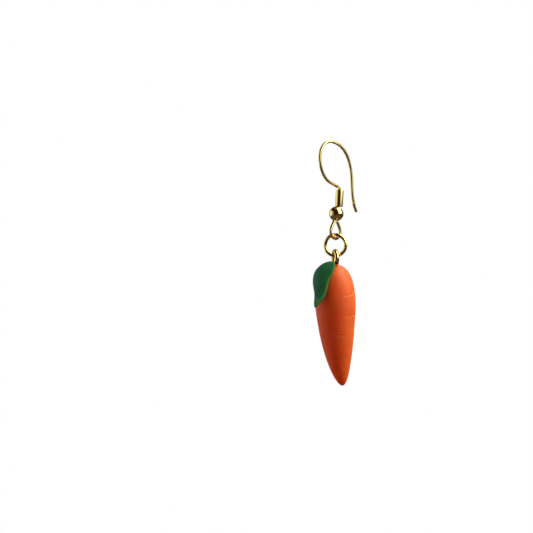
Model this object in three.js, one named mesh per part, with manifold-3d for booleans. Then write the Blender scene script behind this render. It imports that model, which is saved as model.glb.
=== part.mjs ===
// Carrot drop earring: a polymer clay carrot with one leaf, hung by a screw eye and a jump ring
// from a French-hook ear wire that carries a sleeve and a ball bead.
//
// Millimetres, +Z up, -Y is the earring's front and +X its right as seen from the front.
// The origin is the inside of the hook's crown, where the ear lobe carries the earring.

import * as THREE from 'three';
import { mergeVertices } from 'three/addons/utils/BufferGeometryUtils.js';
import Module from 'manifold-3d';

const wasm = await Module();
wasm.setup();

// ---------------------------------------------------------------- driving dimensions

const CLEARANCE = 0.05; // between the clay and what is set in it
const LINK_PLAY = 0.08; // between the jump ring and the eye that hangs on it

// Ear wire. It is bent in one flat plane, turned about Z from the earring's front.
const WIRE_DIAMETER = 0.62;
const WIRE_SIDES = 8;
const WIRE_STEPS = 132;
const HOOK_TURN = 40; // degrees, front arm towards the viewer and tail away

// Sleeve and bead, threaded on the wire's shank.
const SLEEVE_DIAMETER = 1.62;
const SLEEVE_LENGTH = 3.37;
const SLEEVE_EDGE = 0.06; // rounding of the sleeve's rims
const SLEEVE_SIDES = 28;
const BEAD_DIAMETER = 3.0;
const BEAD_SIDES = 28;
const BEAD_ROWS = 18;
const BORE = 1.0; // of both, with play round the wire
const BORE_SIDES = 16;

// Jump ring, closed to a fine cut on its right side.
const RING_OUTER_DIAMETER = 5.0;
const RING_WIRE = 0.7;
const RING_TURN = -15; // degrees about Z
const RING_CUT = 0.07;
const RING_CUT_ANGLE = -12; // degrees up from three o'clock
const RING_SIDES = 10;
const RING_STEPS = 48;

// Screw eye.
const EYE_OUTER_DIAMETER = 3.8;
const EYE_WIRE = 0.95;
const EYE_TURN = 102; // degrees about Z, so that the eye crosses the jump ring
const EYE_ABOVE_CLAY = 1.34; // eye's centre over the carrot's top
const EYE_SIDES = 10;
const EYE_STEPS = 36;
const SCREW_LENGTH = 6.4; // below the eye's centre
const SCREW_CREST = 0.5;
const SCREW_ROOT = 0.38;
const SCREW_PITCH = 0.7;
const SCREW_THREADS = 5;
const SCREW_SIDES = 12;

// Carrot. Depths are measured down from its top.
const CARROT_LENGTH = 24.94;
const CARROT_RADIUS = 4.18;
const CARROT_WIDEST = 8.48; // depth of the widest place
const SHOULDER_POWER = 2.45; // form of the rounded top
const SHOULDER_ROUND = 0.39;
const TAPER_POWER = 1.31; // form of the long taper
const TAPER_ROUND = 0.54;
const CARROT_LEAN = 0.0155; // sideways run of the axis per mm of depth
const CARROT_BEND = 1.19; // further sideways run at the tip
const CARROT_BEND_POWER = 3.2;
const CARROT_SIDES = 36;
const CARROT_ROWS = 40;
const SLOPE_STEP = 0.01; // over which the clay's slope is taken

// Press lines: fine arcs left by a blade in the clay, each [turn, depth] to [turn, depth].
// A turn of 0 degrees faces the front, 90 the right and 180 the back.
const LINE_RADIUS = 0.15;
const LINE_PROUD = 0.05; // the blade's centre over the surface, which sets the groove's depth
const LINE_FADE = 0.13; // how far the blade lifts off at both ends
const LINE_SAG = 0.25; // how far the middle of a line hangs below its ends
const LINE_SIDES = 6;
const LINE_STEPS = 12;
const PRESS_LINES = [
  { from: [20, 6.5], to: [88, 5.0] },
  { from: [26, 10.75], to: [92, 9.35] },
  { from: [-70, 14.8], to: [-14, 15.1] },
  { from: [-2, 14.45], to: [33, 14.4] },
  { from: [-35, 13.45], to: [30, 13.6] },
  { from: [-124, 6.36], to: [-78, 6.62] },
  { from: [112, 7.48], to: [170, 6.98] },
  { from: [-168, 10.3], to: [-112, 10.8] },
  { from: [134, 12.8], to: [183, 13.1] },
  { from: [86, 16.2], to: [117, 15.9] },
  { from: [-172, 16.8], to: [-127, 16.5] },
  { from: [158, 18.6], to: [188, 18.7] },
];

// Leaf. Its midrib lies in one upright plane through the carrot's axis.
const LEAF_TURN = -38; // degrees from the front, to the left
const LEAF_HALF_WIDTH = 2.3;
const LEAF_THICKNESS = 0.86;
const LEAF_THINNING = 0.7; // how the thickness follows the width where the leaf is narrow
const LEAF_EDGE_POWER = 0.8; // form of the rounded edge, fuller below 1
const LEAF_CUP_RADIUS = 4.9; // how the blade wraps the carrot across its width
const LEAF_WIDEST = 0.29; // share of the midrib's length from the base
const LEAF_TAPER_POWER = 1.35; // form of the taper from there to the tip
const LEAF_TAPER_ROUND = 0.7;
const LEAF_BED = 0.4; // further thickness under the base, cut to fit the carrot it is pressed on
const LEAF_BED_REACH = 0.6; // share of the midrib's length over which that runs out
const LEAF_ROWS = 26;
const LEAF_SIDES = 18;
// The midrib's run, each [out from the axis, aside towards the right, down from the carrot's top].
const LEAF_MIDRIB = [
  [1.24, 0.3, -0.48],
  [2.2, -0.03, -0.17],
  [3.34, -0.45, 0.97],
  [4.05, -0.64, 2.38],
  [4.62, -0.48, 3.88],
  [5.15, -0.07, 5.68],
  [5.68, 0.04, 6.88],
  [6.35, 0.0, 8.03],
  [6.95, 0.05, 8.76],
];

// Where the pieces hang, each from the one above.
const RING_CENTRE = new THREE.Vector3(1.2, 1.0, -21.02);
const RING_RADIUS = (RING_OUTER_DIAMETER - RING_WIRE) / 2;
const EYE_RADIUS = (EYE_OUTER_DIAMETER - EYE_WIRE) / 2;
const EYE_DROP = RING_RADIUS - RING_WIRE / 2 + EYE_RADIUS - EYE_WIRE / 2 - LINK_PLAY;
const EYE_CENTRE = new THREE.Vector3(1.15, 1.0, RING_CENTRE.z - EYE_DROP);
const CARROT_TOP = new THREE.Vector3(1.05, 1.0, EYE_CENTRE.z - EYE_ABOVE_CLAY);

// ---------------------------------------------------------------- materials

const gold = () => new THREE.MeshStandardMaterial({ color: 0xe6c25a, roughness: 0.18, metalness: 1 });
const orangeClay = () => new THREE.MeshStandardMaterial({ color: 0xee6a35, roughness: 0.6, metalness: 0 });
const greenClay = () => new THREE.MeshStandardMaterial({ color: 0x265540, roughness: 0.55, metalness: 0 });

// ---------------------------------------------------------------- helpers

const radians = THREE.MathUtils.degToRad;

// A closed geometry as a solid that can be joined and cut.
function solidOf(geometry) {
  const bare = geometry.index ? geometry.toNonIndexed() : geometry.clone();
  bare.deleteAttribute('normal');
  bare.deleteAttribute('uv');
  const merged = mergeVertices(bare, 1e-5);
  const mesh = new wasm.Mesh({
    numProp: 3,
    vertProperties: new Float32Array(merged.attributes.position.array),
    triVerts: new Uint32Array(merged.index.array),
  });
  return new wasm.Manifold(mesh);
}

function geometryOf(solid) {
  const mesh = solid.getMesh();
  const geometry = new THREE.BufferGeometry();
  geometry.setAttribute('position', new THREE.BufferAttribute(mesh.vertProperties, 3));
  geometry.setIndex(new THREE.BufferAttribute(mesh.triVerts, 1));
  geometry.computeVertexNormals();
  return geometry;
}

function roundSection(radius, sides) {
  const corners = [];
  for (let i = 0; i < sides; i += 1) {
    const angle = (i / sides) * Math.PI * 2;
    corners.push(new THREE.Vector2(radius * Math.cos(angle), radius * Math.sin(angle)));
  }
  return new THREE.Shape(corners);
}

// A round bar along a curve, flat at both ends.
function bar(path, radius, sides, steps) {
  return new THREE.ExtrudeGeometry(roundSection(radius, sides), { extrudePath: path, steps });
}

// A closed skin over rings of equal length, drawn to a point at each end.
function skin(rings, firstPole, lastPole) {
  const sides = rings[0].length;
  const points = [firstPole, ...rings.flat(), lastPole];
  const faces = [];
  const at = (row, side) => 1 + row * sides + (side % sides);
  const last = points.length - 1;
  for (let side = 0; side < sides; side += 1) {
    faces.push(0, at(0, side + 1), at(0, side));
    faces.push(last, at(rings.length - 1, side), at(rings.length - 1, side + 1));
    for (let row = 0; row + 1 < rings.length; row += 1) {
      faces.push(at(row, side), at(row, side + 1), at(row + 1, side + 1));
      faces.push(at(row, side), at(row + 1, side + 1), at(row + 1, side));
    }
  }
  const geometry = new THREE.BufferGeometry().setFromPoints(points);
  geometry.setIndex(faces);
  geometry.computeVertexNormals();
  return geometry;
}

function piece(name, geometry, material) {
  const mesh = new THREE.Mesh(geometry, material);
  mesh.name = name;
  return mesh;
}

// ---------------------------------------------------------------- ear wire, sleeve and bead

// The wire's centreline in its own plane, [x, z]: tail, crown, front arm, kink, shank, loop.
const SHANK_TOP = [2.8, -9.75];
const SHANK_FOOT = [2.52, -12.85];
const BEAD_TOP = [2.27, -13.3];
const BEAD_FOOT = [1.35, -15.76];
const WIRE_RUN = [
  [7.5, -14.1],
  [6.75, -12.4],
  [6.3, -10.0],
  [6.15, -7.4],
  [5.75, -4.7],
  [4.75, -2.3],
  [3.1, -0.6],
  [1.3, 0.15],
  [0, 0.31],
  [-1.0, 0.0],
  [-1.88, -0.75],
  [-2.52, -1.8],
  [-2.75, -2.95],
  [-2.64, -4.2],
  [-2.26, -5.5],
  [-1.42, -6.95],
  [-0.42, -7.85],
  [0.9, -8.43],
  [2.0, -8.88],
  [2.6, -9.25],
  SHANK_TOP,
  SHANK_FOOT,
  BEAD_TOP,
  BEAD_FOOT,
  [0.82, -16.75],
  [0.34, -17.6],
  [0.24, -18.4],
  [0.58, -19.15],
  [1.5, -19.68],
  [2.4, -19.35],
  [2.85, -18.5],
  [2.75, -17.6],
  [2.42, -16.85],
  [2.04, -16.14],
];
const SLEEVE_AXIS = { top: [2.79, -9.67], foot: [2.54, -13.03] };

function wireCurve() {
  const points = WIRE_RUN.map(([x, z]) => new THREE.Vector3(x, 0, z));
  return new THREE.CatmullRomCurve3(points, false, 'centripetal');
}

function earWire() {
  const radius = WIRE_DIAMETER / 2;
  const wire = solidOf(bar(wireCurve(), radius, WIRE_SIDES, WIRE_STEPS));
  const tailEnd = new THREE.SphereGeometry(radius, WIRE_SIDES, WIRE_SIDES / 2);
  tailEnd.translate(WIRE_RUN[0][0], 0, WIRE_RUN[0][1]);
  return geometryOf(wire.add(solidOf(tailEnd)));
}

function sleeve() {
  const outer = SLEEVE_DIAMETER / 2;
  const inner = BORE / 2;
  const half = SLEEVE_LENGTH / 2;
  const profile = [
    [inner, half],
    [inner, -half],
    [outer - SLEEVE_EDGE, -half],
    [outer, SLEEVE_EDGE - half],
    [outer, half - SLEEVE_EDGE],
    [outer - SLEEVE_EDGE, half],
    [inner, half],
  ].map(([r, z]) => new THREE.Vector2(r, z));
  return new THREE.LatheGeometry(profile, SLEEVE_SIDES).rotateX(Math.PI / 2);
}

// The bead's bore runs along the wire, which crosses it at a slant.
function bead() {
  const ball = solidOf(new THREE.SphereGeometry(BEAD_DIAMETER / 2, BEAD_SIDES, BEAD_ROWS));
  const slant = Math.atan2(BEAD_TOP[0] - BEAD_FOOT[0], BEAD_TOP[1] - BEAD_FOOT[1]);
  const bore = new THREE.CylinderGeometry(BORE / 2, BORE / 2, BEAD_DIAMETER * 1.2, BORE_SIDES);
  bore.rotateX(Math.PI / 2).rotateY(slant);
  return geometryOf(ball.subtract(solidOf(bore)));
}

// ---------------------------------------------------------------- jump ring

class ArcCurve extends THREE.Curve {
  constructor(radius, start, sweep) {
    super();
    this.radius = radius;
    this.start = start;
    this.sweep = sweep;
  }

  getPoint(t, target = new THREE.Vector3()) {
    const angle = this.start + t * this.sweep;
    return target.set(this.radius * Math.cos(angle), 0, this.radius * Math.sin(angle));
  }
}

function jumpRing() {
  const gap = RING_CUT / RING_RADIUS;
  const start = radians(RING_CUT_ANGLE) + gap / 2;
  const arc = new ArcCurve(RING_RADIUS, start, Math.PI * 2 - gap);
  return bar(arc, RING_WIRE / 2, RING_SIDES, RING_STEPS);
}

// ---------------------------------------------------------------- screw eye

// The eye stands in the XZ plane round the origin, with its screw down -Z.
// With a clearance it is the hole that the clay keeps for it.
function screwEyeSolid(clearance) {
  const ring = new THREE.TorusGeometry(EYE_RADIUS, EYE_WIRE / 2 + clearance, EYE_SIDES, EYE_STEPS);
  ring.rotateX(Math.PI / 2);
  const head = clearance - EYE_RADIUS;
  const profile = [new THREE.Vector2(0, head), new THREE.Vector2(SCREW_CREST + clearance, head)];
  const firstRoot = EYE_RADIUS + EYE_WIRE / 2;
  for (let i = 0; i < SCREW_THREADS; i += 1) {
    const top = firstRoot + i * SCREW_PITCH;
    profile.push(new THREE.Vector2(SCREW_ROOT + clearance, -top));
    profile.push(new THREE.Vector2(SCREW_CREST + clearance, -top - SCREW_PITCH / 2));
  }
  profile.push(new THREE.Vector2(SCREW_ROOT + clearance, -firstRoot - SCREW_THREADS * SCREW_PITCH));
  profile.push(new THREE.Vector2(0, -SCREW_LENGTH - clearance));
  const screw = new THREE.LatheGeometry(profile.reverse(), SCREW_SIDES).rotateX(Math.PI / 2);
  return solidOf(ring).add(solidOf(screw));
}

// ---------------------------------------------------------------- carrot

function carrotRadius(depth) {
  if (depth < CARROT_WIDEST) {
    const up = (CARROT_WIDEST - depth) / CARROT_WIDEST;
    return CARROT_RADIUS * (1 - up ** SHOULDER_POWER) ** SHOULDER_ROUND;
  }
  const down = (depth - CARROT_WIDEST) / (CARROT_LENGTH - CARROT_WIDEST);
  return CARROT_RADIUS * Math.max(0, 1 - down ** TAPER_POWER) ** TAPER_ROUND;
}

function carrotAxis(depth) {
  const run = CARROT_LEAN * depth + CARROT_BEND * (depth / CARROT_LENGTH) ** CARROT_BEND_POWER;
  return new THREE.Vector3(run, 0, -depth);
}

// How steeply the clay widens with depth.
function carrotSlope(depth) {
  const above = Math.max(0, depth - SLOPE_STEP);
  const below = Math.min(CARROT_LENGTH, depth + SLOPE_STEP);
  return (carrotRadius(below) - carrotRadius(above)) / (below - above);
}

// A point over the clay's surface at a turn and a depth, lifted square to the surface.
function carrotPoint(turn, depth, lift = 0) {
  const slope = carrotSlope(depth);
  const square = lift / Math.hypot(1, slope);
  const reach = carrotRadius(depth) + square;
  const outward = new THREE.Vector3(Math.sin(turn) * reach, -Math.cos(turn) * reach, square * slope);
  return carrotAxis(depth).add(outward);
}

// The clay before anything is pressed or set in it, grown on all sides by a lift.
function clayBody(lift) {
  const rings = [];
  for (let row = 1; row < CARROT_ROWS; row += 1) {
    const depth = (CARROT_LENGTH * (1 - Math.cos((Math.PI * row) / CARROT_ROWS))) / 2;
    const ring = [];
    for (let side = 0; side < CARROT_SIDES; side += 1) {
      ring.push(carrotPoint((-2 * Math.PI * side) / CARROT_SIDES, depth, lift));
    }
    rings.push(ring);
  }
  const top = carrotAxis(0).add(new THREE.Vector3(0, 0, lift));
  const tip = carrotAxis(CARROT_LENGTH).add(new THREE.Vector3(0, 0, -lift));
  return solidOf(skin(rings, top, tip));
}

function pressLine({ from, to }) {
  const points = [];
  for (let i = 0; i <= LINE_STEPS; i += 1) {
    const t = i / LINE_STEPS;
    const middle = 1 - (2 * t - 1) ** 2;
    const turn = radians(THREE.MathUtils.lerp(from[0], to[0], t));
    const depth = THREE.MathUtils.lerp(from[1], to[1], t) + LINE_SAG * middle;
    const lift = LINE_PROUD + LINE_FADE * (1 - middle) ** 2;
    points.push(carrotPoint(turn, depth, lift));
  }
  const blade = new THREE.CatmullRomCurve3(points);
  return solidOf(bar(blade, LINE_RADIUS, LINE_SIDES, LINE_STEPS));
}

function carrot() {
  let clay = clayBody(0);
  for (const line of PRESS_LINES) {
    clay = clay.subtract(pressLine(line));
  }
  const eye = EYE_CENTRE.clone().sub(CARROT_TOP);
  const seat = screwEyeSolid(CLEARANCE).rotate([0, 0, EYE_TURN]).translate(eye.toArray());
  return geometryOf(clay.subtract(seat));
}

// ---------------------------------------------------------------- leaf

// The blade is round at its base and tapers to a blunt tip. It is measured along the midrib, 0 to 1.
function leafHalfWidth(t) {
  if (t < LEAF_WIDEST) {
    const back = (LEAF_WIDEST - t) / LEAF_WIDEST;
    return LEAF_HALF_WIDTH * Math.sqrt(1 - back ** 2);
  }
  const ahead = (t - LEAF_WIDEST) / (1 - LEAF_WIDEST);
  return LEAF_HALF_WIDTH * (1 - ahead ** LEAF_TAPER_POWER) ** LEAF_TAPER_ROUND;
}

// Built with the midrib in the XZ plane, running out along +X, then turned to its place.
function leaf() {
  const places = LEAF_MIDRIB.map(([out, aside, down]) => new THREE.Vector3(out, aside, -down));
  const midrib = new THREE.CatmullRomCurve3(places);
  const rings = [];
  for (let row = 1; row < LEAF_ROWS; row += 1) {
    const t = (1 - Math.cos((Math.PI * row) / LEAF_ROWS)) / 2;
    const centre = midrib.getPointAt(t);
    const along = midrib.getTangentAt(t);
    const outward = new THREE.Vector3(-along.z, 0, along.x);
    const half = leafHalfWidth(t);
    const thick = (LEAF_THICKNESS / 2) * Math.min(1, (half / LEAF_THICKNESS) ** LEAF_THINNING);
    const bed = LEAF_BED * Math.max(0, 1 - t / LEAF_BED_REACH);
    const ring = [];
    for (let side = 0; side < LEAF_SIDES; side += 1) {
      const angle = (2 * Math.PI * side) / LEAF_SIDES;
      const across = half * Math.cos(angle);
      const rise = Math.sin(angle);
      const up = (rise > 0 ? thick : -thick - bed) * Math.abs(rise) ** LEAF_EDGE_POWER;
      const cup = across ** 2 / (2 * LEAF_CUP_RADIUS);
      const point = centre.clone().addScaledVector(outward, up - cup);
      point.y += across;
      ring.push(point);
    }
    rings.push(ring);
  }
  const blade = skin(rings, midrib.getPointAt(0), midrib.getPointAt(1)).rotateZ(radians(LEAF_TURN - 90));
  return geometryOf(solidOf(blade).subtract(clayBody(CLEARANCE)));
}

// ---------------------------------------------------------------- assembly

const earring = new THREE.Group();

const hook = new THREE.Group();
hook.rotation.z = radians(HOOK_TURN);
hook.add(piece('ear_wire', earWire(), gold()));
const sleeveMesh = piece('sleeve', sleeve(), gold());
const { top, foot } = SLEEVE_AXIS;
sleeveMesh.position.set((top[0] + foot[0]) / 2, 0, (top[1] + foot[1]) / 2);
sleeveMesh.rotation.y = Math.atan2(top[0] - foot[0], top[1] - foot[1]);
hook.add(sleeveMesh);
const beadMesh = piece('bead', bead(), gold());
beadMesh.position.set((BEAD_TOP[0] + BEAD_FOOT[0]) / 2, 0, (BEAD_TOP[1] + BEAD_FOOT[1]) / 2);
hook.add(beadMesh);
earring.add(hook);

const ringMesh = piece('jump_ring', jumpRing(), gold());
ringMesh.position.copy(RING_CENTRE);
ringMesh.rotation.z = radians(RING_TURN);
earring.add(ringMesh);

const eyeMesh = piece('screw_eye', geometryOf(screwEyeSolid(0)), gold());
eyeMesh.position.copy(EYE_CENTRE);
eyeMesh.rotation.z = radians(EYE_TURN);
earring.add(eyeMesh);

const carrotMesh = piece('carrot', carrot(), orangeClay());
carrotMesh.position.copy(CARROT_TOP);
earring.add(carrotMesh);

const leafMesh = piece('leaf', leaf(), greenClay());
leafMesh.position.copy(CARROT_TOP);
earring.add(leafMesh);

export default earring;
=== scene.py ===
"""Carrot drop earring: the looks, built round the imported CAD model.

Every mesh and every setting is in metres, in the row's frame: +Z up, -Y the earring's front, and the
origin inside the crown of the hook. The named sizes are in millimetres, apart from the studio's.
"""

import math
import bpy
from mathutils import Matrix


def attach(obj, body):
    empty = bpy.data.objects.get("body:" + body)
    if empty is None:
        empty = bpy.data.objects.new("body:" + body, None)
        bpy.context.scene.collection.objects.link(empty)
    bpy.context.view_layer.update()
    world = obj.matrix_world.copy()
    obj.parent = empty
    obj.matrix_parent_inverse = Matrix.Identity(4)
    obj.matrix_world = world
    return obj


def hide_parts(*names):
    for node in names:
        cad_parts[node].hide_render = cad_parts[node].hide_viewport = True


bl_info = {
    "name": "Carrot Drop Earring",
    "version": (1, 0, 0),
    "blender": (4, 5, 0),
    "location": "View3D > Sidebar > Earring",
    "description": "Dresses the carrot drop earring: gold findings, clay carrot, clay leaf and studio",
    "category": "Add Mesh",
}

import bmesh
import bpy
import numpy as np
from mathutils import Vector, noise

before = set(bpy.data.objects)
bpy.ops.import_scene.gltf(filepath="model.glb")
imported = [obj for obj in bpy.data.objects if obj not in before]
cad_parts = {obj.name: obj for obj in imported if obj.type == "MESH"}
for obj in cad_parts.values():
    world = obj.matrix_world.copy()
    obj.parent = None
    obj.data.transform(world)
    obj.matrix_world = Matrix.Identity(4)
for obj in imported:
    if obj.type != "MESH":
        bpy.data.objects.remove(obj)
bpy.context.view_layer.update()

MM = 0.001

# ---------------------------------------------------------------- the earring's sizes, in millimetres

# Where the pieces hang, each from the one above.
HOOK_TURN = 40.0  # degrees about Z, front arm towards the viewer
RING_CENTRE = (1.2, 1.0, -21.02)
RING_TURN = -15.0
EYE_CENTRE = (1.15, 1.0, -23.69)
EYE_TURN = 102.0
CARROT_TOP = (1.05, 1.0, -25.03)

# The ear wire's centreline in the hook's own plane, (x, z): tail, crown, front arm, kink, shank, loop.
WIRE_RUN = (
    (7.5, -14.1),
    (6.75, -12.4),
    (6.3, -10.0),
    (6.15, -7.4),
    (5.75, -4.7),
    (4.75, -2.3),
    (3.1, -0.6),
    (1.3, 0.15),
    (0.0, 0.31),
    (-1.0, 0.0),
    (-1.88, -0.75),
    (-2.52, -1.8),
    (-2.75, -2.95),
    (-2.64, -4.2),
    (-2.26, -5.5),
    (-1.42, -6.95),
    (-0.42, -7.85),
    (0.9, -8.43),
    (2.0, -8.88),
    (2.6, -9.25),
    (2.8, -9.75),
    (2.52, -12.85),
    (2.27, -13.3),
    (1.35, -15.76),
    (0.82, -16.75),
    (0.34, -17.6),
    (0.24, -18.4),
    (0.58, -19.15),
    (1.5, -19.68),
    (2.4, -19.35),
    (2.85, -18.5),
    (2.75, -17.6),
    (2.42, -16.85),
    (2.04, -16.14),
)
SLEEVE_TOP = (2.79, -9.67)
SLEEVE_FOOT = (2.54, -13.03)
BEAD_TOP = (2.27, -13.3)
BEAD_FOOT = (1.35, -15.76)

# Gold findings: what their own settings don't carry.
BORE_RADIUS = 0.38  # of the sleeve and the bead
SLEEVE_EDGE = 0.07  # rounding of the sleeve's ends
BEAD_EDGE = 0.06  # rounding at the bead's bore
LOOP_END_EDGE = 0.08  # rounding of the wire's end in the loop; the tail's end is a full dome
RING_CUT_TURN = -12.0  # degrees up from the ring's right
RING_CUT_EDGE = 0.02
RING_CUT_OFFSET = 0.03  # how far the ends pass each other sideways
EYE_BEND_FROM = -88.0  # the eye's wire leaves its shank here, in degrees up from the right
EYE_BEND = 345.0  # and turns this far
EYE_END_EDGE = 0.05
SHANK_RADIUS = 0.39
SHANK_HEAD = 0.1  # under the middle of the eye's wire
SHANK_HEAD_EDGE = 0.02
SHANK_FOOT = -6.3  # from the eye's centre
THREAD_TURNS = 5
THREAD_PITCH = 0.7
THREAD_RADIUS = 0.36
THREAD_WIRE = 0.26
THREAD_START = 0.55  # under the eye

# How finely the findings are divided: a wire's steps, the further steps crowded at its two ends, the
# share of its length that each crowd takes, and its sides.
RUN_STEPS = 14  # between two points of the ear wire's run
WIRE_STEPS = 420
WIRE_END_STEPS = 9
WIRE_SIDES = 20
RING_STEPS = 150
RING_END_STEPS = 5
RING_END_SHARE = 0.002
RING_SIDES = 24
EYE_STEPS = 110
EYE_END_STEPS = 5
EYE_END_SHARE = 0.004
EYE_SIDES = 24
SHANK_STEPS = 30
SHANK_END_STEPS = 8
SHANK_END_SHARE = 0.12
SHANK_SIDES = 20
THREAD_STEPS = 160
THREAD_SIDES = 8
THINNEST_END = 0.02  # of a wire's thickness, left at the middle of a domed end
SLEEVE_EDGE_STEPS = 7
SLEEVE_SIDES = 64
BEAD_ROWS = 57
BEAD_SIDES = 80

# Carrot. Depths are measured down from its top.
CARROT_LENGTH = 24.94
CARROT_RADIUS = 4.18
CARROT_WIDEST = 8.48
SHOULDER_POWER = 2.45  # form of the outline above the widest
SHOULDER_ROUND = 0.39
TAPER_POWER = 1.31  # and below it
TAPER_ROUND = 0.54
CARROT_LEAN = 0.0155  # towards the right, for each millimetre of depth
CARROT_BEND = 1.19  # further to the right at the tip
CARROT_BEND_POWER = 3.2  # how late that bend comes
CARROT_TIP_CUT = 0.02  # off the very tip
CARROT_SIDES = 256
CARROT_ROW = 0.17  # from row to row over the surface
CARROT_PRESSED_ROW = 0.055  # the same, where lines are pressed
CARROT_SAMPLES = 6001  # of the outline, from which the rows are spaced

# The rolled clay strays from round in broad and in fine waves, each (share, size).
STRAY_BROAD = (0.7, 5.2)
STRAY_FINE = (0.3, 1.9)
STRAY_FINE_SHIFT = (7, 3, 5)
STRAY_INWARD = 0.3  # how much more it strays inwards than outwards
STRAY_SETTLE = 2.0  # the carrot's radius, under which it strays less

# Press lines: (turn, depth) to (turn, depth), and how firmly the blade was pressed.
# A turn of 0 degrees faces the front, 90 the right and 180 the back.
PRESS_LINES = (
    (20, 6.5, 88, 5.0, 1.0),
    (26, 10.75, 92, 9.35, 1.0),
    (-70, 14.8, -14, 15.1, 1.3),
    (-2, 14.45, 33, 14.4, 0.6),
    (-35, 13.45, 30, 13.6, 0.4),
    (-124, 6.36, -78, 6.62, 1.0),
    (112, 7.48, 170, 6.98, 1.0),
    (-168, 10.3, -112, 10.8, 0.9),
    (134, 12.8, 183, 13.1, 0.8),
    (86, 16.2, 117, 15.9, 0.6),
    (-172, 16.8, -127, 16.5, 0.9),
    (158, 18.6, 188, 18.7, 0.6),
)
PRESS_SAG = 0.25  # how far the middle of a long line hangs below its ends
PRESS_SAG_SPAN = 68.0  # degrees that such a line spans; a shorter one hangs less
PRESS_ABOVE = 0.42  # the clay slopes in gently above a line
PRESS_BELOW = 0.2  # and rises steeply below it
PRESS_ABOVE_POWER = 1.6  # form of the slope above
PRESS_LIP = 0.15  # the lip beyond, as a share of the depth
PRESS_LIP_AT = 1.7 * PRESS_BELOW
PRESS_LIP_WIDTH = 0.7 * PRESS_BELOW
PRESS_FADE = 1.6  # how soon a line is at its full depth from its ends
PRESS_FADE_POWER = 1.2
PRESS_MARGIN = 0.4  # of closer rows round a line
PRESS_SHADE = 0.5  # how much painted shade deepens the clay's colour in a line
PRESS_SHADE_WIDTH = 0.09

# The clay's swell round the screw eye's legs, and the nick in front of it, darkened with painted shade.
SWELL_LENGTH = 2.1  # half of its length, along the eye
SWELL_WIDTH = 0.64
SWELL_HEIGHT = 0.42
SWELL_POWER = 4  # form of its edge, steeper above 2
NICK_AT = (0.24, -1.72)  # from the carrot's axis
NICK_WIDTH = 0.17
NICK_DEPTH = 0.45
SEAT_DEPTH = 1.5  # under the carrot's top, where both have faded out

# The screw eye's foot is dulled, and darkened with painted shade, where it goes into the clay.
FOOT_SHADE_TO = 0.75  # above the carrot's top
FOOT_SHADE_FADE = 0.3
FOOT_ROUGHNESS = 0.45

# Leaf. Its midrib: (out from the axis, aside towards the right, down from the carrot's top).
LEAF_TURN = -38.0  # the side of the carrot that it lies on, in degrees as for the press lines
LEAF_CUP_RADIUS = 4.9  # of its curve across, round the carrot
LEAF_WIDEST = 0.29  # share of the midrib's length from the base
LEAF_TAPER_POWER = 1.35  # form of the outline beyond the widest
LEAF_TAPER_ROUND = 0.7
LEAF_THINNING = 0.7  # how the thickness follows the width where the leaf is narrow
LEAF_EDGE_POWER = 0.72  # form of the rounded edge, fuller below 1
LEAF_BED = 0.4  # further thickness under the base, where the leaf is pressed onto the carrot
LEAF_BED_REACH = 0.6  # share of the midrib's length over which that runs out
LEAF_BED_POWER = 0.8
LEAF_RIM = 0.28  # width of the rounded rim beside the dished face
LEAF_RIM_POWER = 4  # how steeply the face drops from it
LEAF_TIP_RIM = 0.18  # and its length at the tip, as a share of the midrib
LEAF_DISH_FULL = 1.2  # half width from which the dish has its full depth
LEAF_HIGHLIGHT = 0.7  # how much painted highlight pales the rim, in full from this share of the midrib on
LEAF_HIGHLIGHT_FROM = 0.85
LEAF_HIGHLIGHT_POWER = 3  # how closely the painted highlight keeps to the rim
LEAF_HIGHLIGHT_TIP = 0.76  # painted highlight covers the whole face from here to just before the tip
LEAF_HIGHLIGHT_FADE = 3  # the painted highlight comes and goes over one part in this many of that stretch
LEAF_HIGHLIGHT_TURN = 2  # how soon it is at its full above the leaf's edge
LEAF_SINK = 0.06  # how far the leaf's underside is bedded into the carrot
LEAF_ROWS = 90
LEAF_SIDES = 56
LEAF_RUN_STEPS = 40  # between two points of the midrib
LEAF_AHEAD = 0.004  # share of the midrib's length, each way, over which its direction is taken
LEAF_MIDRIB = (
    (1.24, 0.3, -0.48),
    (2.2, -0.03, -0.17),
    (3.34, -0.45, 0.97),
    (4.05, -0.64, 2.38),
    (4.62, -0.48, 3.88),
    (5.15, -0.07, 5.68),
    (5.68, 0.04, 6.88),
    (6.35, 0.0, 8.03),
    (6.95, 0.05, 8.76),
)

LEAST = 0.01  # keeps a divisor clear of zero

# The finishes' patterns: how wide their marks are, and how high a bump stands.
GOLD_WORN_SIZE = 1.1
GOLD_HAZE_SIZE = 0.35
GOLD_WAVE_SIZE = 0.55
GOLD_WAVE_HEIGHT = 0.012
GOLD_ROUGHNESS = (0.06, 0.14)  # the clearest and the haziest
CARROT_MOTTLE_SIZE = 1.6
LEAF_MOTTLE_SIZE = 2.4
CLAY_GRAIN_SIZE = 0.11
CLAY_GRAIN_HEIGHT = 0.012
CLAY_HOLLOW_SIZE = 0.7
CLAY_HOLLOW_HEIGHT = 0.05
CLAY_GLOW_DEPTH = 1.5  # how far the red in light travels in the clay
CLAY_GLOW = (1.0, 0.2, 0.08)  # how far red, green and blue travel, as shares of that

# The studio, in metres. A light is (azimuth, elevation, size), where an azimuth of 0 is the front.
KEY_LIGHT = (72, 32, 0.3)
FILL_LIGHT = (-100, 14, 0.26)
TOP_LIGHT = (105, 62, 0.3)
LIGHT_AIM = (0.001, 0.001, -0.030)
LIGHT_DISTANCE = 0.45
CAMERA_REACH = (0.01, 10.0)  # the nearest and the farthest that it sees
FLOOR_REACH = 1500.0  # millimetres

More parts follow.
